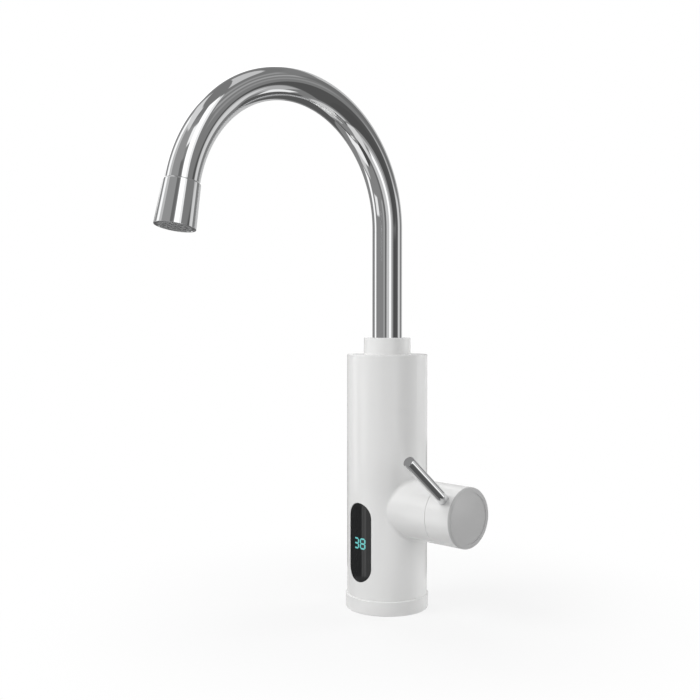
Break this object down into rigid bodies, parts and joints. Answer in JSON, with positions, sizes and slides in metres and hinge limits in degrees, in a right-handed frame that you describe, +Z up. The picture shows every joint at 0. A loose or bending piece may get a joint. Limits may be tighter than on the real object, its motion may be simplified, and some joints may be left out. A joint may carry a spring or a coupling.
{
  "type": "electric instant water heater tap",
  "caption": "Electric instant water heater tap: a white column with a lever handle at its side, a glossy display window and a chrome swan-neck spout that swivels.",
  "frame": {"origin": "on the vertical axis of the column, at the underside of its foot, where it stands on the worktop", "axes": "+Z up along the column; the spout and the display face -Y; the handle points along +X"},
  "size_m": [0.1105, 0.2314, 0.3845],
  "materials": {
    "white_shell": "satin",
    "cap_plastic": "satin",
    "chrome": "polished",
    "display_lens": "gloss",
    "outlet_insert": "matte",
    "display_lamp": "gloss",
    "rubber": "matte",
    "brass": "satin",
    "steel": "satin",
    "black_nylon": "matte",
    "pale_nylon": "matte",
    "ceramic": "satin",
    "circuit_board": "satin",
    "terminal_plastic": "satin"
  },
  "bodies": {
    "housing": {"base_plate": "black_nylon", "base_ring": "white_shell", "base_screws": "steel", "base_seal": "rubber", "body_shell": "white_shell", "boss_cover": "white_shell", "cable_grommet": "rubber", "capacitor": "black_nylon", "control_board": "circuit_board", "digit_display": "display_lamp", "display_board": "circuit_board", "display_window": "display_lens", "element_bushes": "pale_nylon", "element_pins": "brass", "fixed_disc": "ceramic", "flow_switch_body": "black_nylon", "headwork_body": "brass", "heater_tank": "steel", "heating_element": "steel", "inlet_filter": "pale_nylon", "inlet_fitting": "brass", "inlet_locknut": "brass", "lid_screws": "steel", "port_o_rings": "rubber", "reed_switch": "pale_nylon", "relay": "black_nylon", "seat_seal": "rubber", "spout_bush": "pale_nylon", "spout_collar": "white_shell", "spout_socket": "black_nylon", "stud_inserts": "brass", "tank_lid": "steel", "tank_o_ring": "rubber", "temperature_probe": "steel", "terminal_block": "terminal_plastic", "thermal_cutout": "pale_nylon", "triac": "black_nylon", "triac_screw": "steel", "valve_body": "brass"},
    "handle": {"moving_disc": "ceramic", "spindle": "brass", "spindle_o_rings": "rubber", "spindle_clip": "steel", "handle_knob": "white_shell", "knob_screw": "steel", "knob_cap": "cap_plastic", "lever_rod": "chrome"},
    "spout": {"spout_foot": "brass", "foot_o_rings": "rubber", "spout_tube": "chrome", "outlet_sleeve": "chrome", "aerator_washer": "rubber", "aerator_ring": "chrome", "aerator_insert": "outlet_insert"},
    "float": {"flow_float": "black_nylon"}
  },
  "joints": [
    {"name": "spout_swivel", "type": "hinge", "parent": "housing", "child": "spout", "pos_m": [0, 0, 0.19], "axis": [0, 0, 1], "continuous": true},
    {"name": "handle_turn", "type": "hinge", "parent": "housing", "child": "handle", "pos_m": [0, 0, 0.0766], "axis": [1, 0, 0], "range_deg": [-140, 40]},
    {"name": "float_lift", "type": "slide", "parent": "housing", "child": "float", "axis": [0, 0, 1], "range_m": [0, 0.006]}
  ]
}
